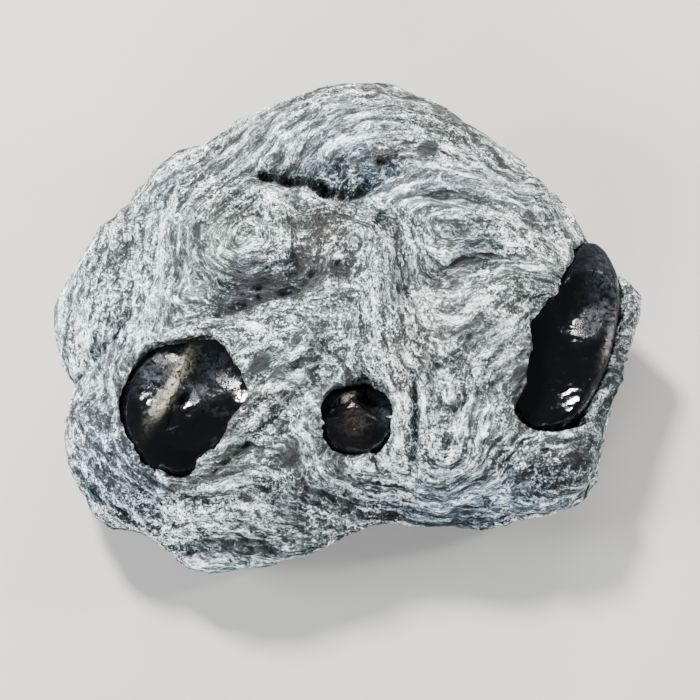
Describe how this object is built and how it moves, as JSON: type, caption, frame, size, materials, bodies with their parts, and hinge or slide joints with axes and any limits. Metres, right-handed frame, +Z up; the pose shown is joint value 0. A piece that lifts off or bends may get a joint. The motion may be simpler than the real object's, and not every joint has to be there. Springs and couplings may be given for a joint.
{
  "type": "apache tear obsidian in matrix",
  "caption": "Palm-sized lump of pale grey, flow-banded perlite rock with glossy black obsidian nodules bedded in its upper face.",
  "frame": {"origin": "middle of the bounding box in plan, on the surface that the lump lies on", "axes": "+X to the right along the longest extent, +Y away from someone looking at the face with the nodules, +Z up"},
  "size_m": [0.1026, 0.0854, 0.0397],
  "materials": {
    "perlite": "rough, mottled grey with pale flow bands",
    "obsidian": "glossy black volcanic glass with curved flake scars"
  },
  "bodies": {
    "root": {"matrix": "perlite", "nodule_left": "obsidian", "nodule_middle": "obsidian", "nodule_right": "obsidian"}
  },
  "joints": []
}
